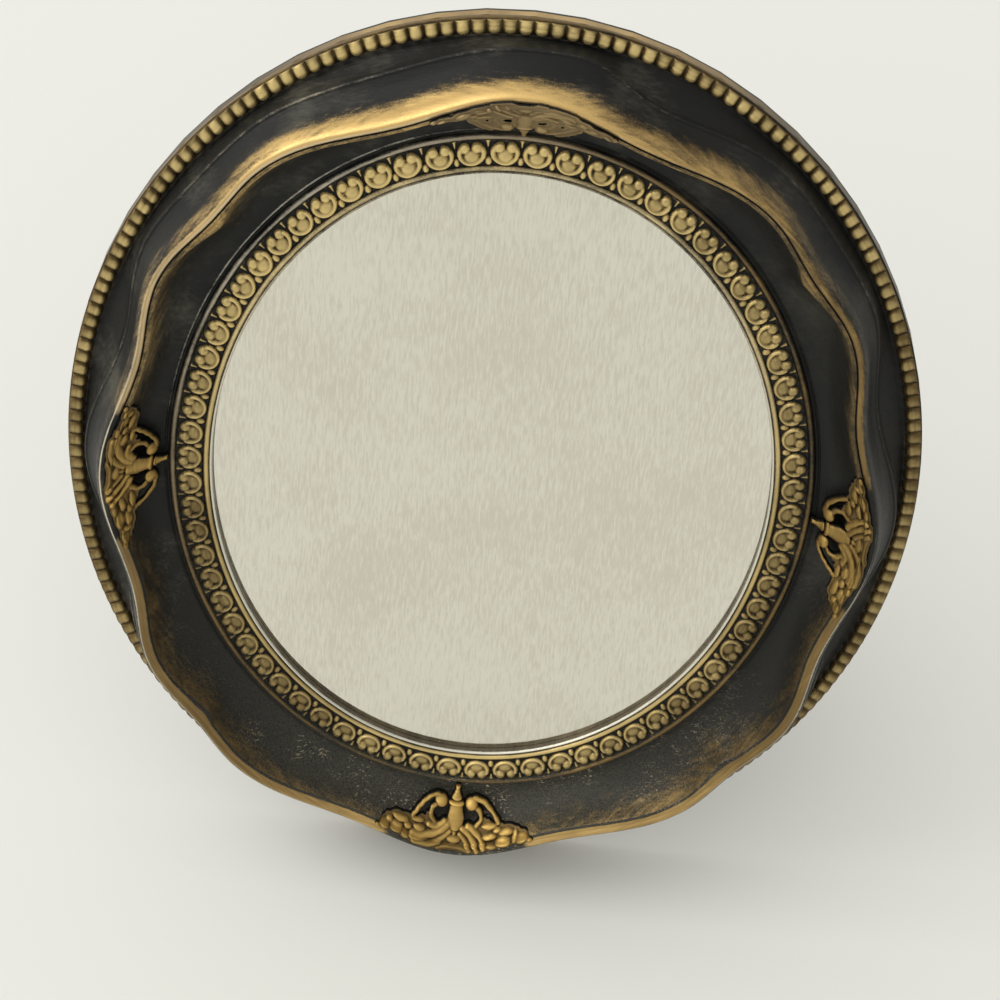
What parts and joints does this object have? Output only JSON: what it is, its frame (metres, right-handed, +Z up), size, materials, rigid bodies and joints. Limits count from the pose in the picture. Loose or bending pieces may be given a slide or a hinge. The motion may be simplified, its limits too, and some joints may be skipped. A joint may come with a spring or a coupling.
{
  "type": "table mirror",
  "caption": "Oval looking glass in a swept, beaded frame with egg-and-dart and four cartouches, leaning back on a hinged easel strut.",
  "frame": {"origin": "on the table, under the middle of the box that holds the whole object as it stands on its strut", "axes": "+Z up; -Y is the side the looking glass faces, which leans back 20 degrees; +X to the viewer's right"},
  "size_m": [0.296, 0.1634, 0.3281],
  "materials": {
    "black_gilt": "black, rubbed with gold on the high places",
    "wood": "dark stained, sealed",
    "gilding": "rubbed gold over a dark ground",
    "mirror": "silvered, slightly aged",
    "card": "plain brown",
    "board": "black paper over hardboard",
    "hinge_metal": "brassed steel",
    "button_metal": "worn brass"
  },
  "bodies": {
    "mirror": {"moulded_face": "black_gilt", "wooden_ring": "wood", "sight_edge_lip": "gilding", "egg_and_dart_row": "gilding", "outer_bead_row": "gilding", "top_cartouche": "gilding", "right_cartouche": "gilding", "bottom_cartouche": "gilding", "left_cartouche": "gilding", "mirror_glass": "mirror", "packing_card": "card", "back_board": "board", "board_hinge_leaf": "hinge_metal", "board_rivets": "hinge_metal", "hinge_pin": "hinge_metal", "turn_button_screws": "button_metal"},
    "strut": {"easel_strut": "board", "strut_hinge_leaf": "hinge_metal", "strut_rivets": "hinge_metal"},
    "turn_button_upper_right": {"turn_button_upper_right": "button_metal"},
    "turn_button_lower_right": {"turn_button_lower_right": "button_metal"},
    "turn_button_lower_left": {"turn_button_lower_left": "button_metal"},
    "turn_button_upper_left": {"turn_button_upper_left": "button_metal"}
  },
  "joints": [
    {"name": "strut_fold", "type": "hinge", "parent": "mirror", "child": "strut", "pos_m": [0, 0.01948, 0.2043], "axis": [-1, 0, 0], "range_deg": [0, 36]},
    {"name": "turn_button_upper_right_turn", "type": "hinge", "parent": "mirror", "child": "turn_button_upper_right", "pos_m": [0.07863, 0.03459, 0.25371], "axis": [0, 0.9397, -0.342], "continuous": true},
    {"name": "turn_button_lower_right_turn", "type": "hinge", "parent": "mirror", "child": "turn_button_lower_right", "pos_m": [0.07863, -0.03148, 0.07218], "axis": [0, 0.9397, -0.342], "continuous": true},
    {"name": "turn_button_lower_left_turn", "type": "hinge", "parent": "mirror", "child": "turn_button_lower_left", "pos_m": [-0.07863, -0.03148, 0.07218], "axis": [0, 0.9397, -0.342], "continuous": true},
    {"name": "turn_button_upper_left_turn", "type": "hinge", "parent": "mirror", "child": "turn_button_upper_left", "pos_m": [-0.07863, 0.03459, 0.25371], "axis": [0, 0.9397, -0.342], "continuous": true}
  ]
}
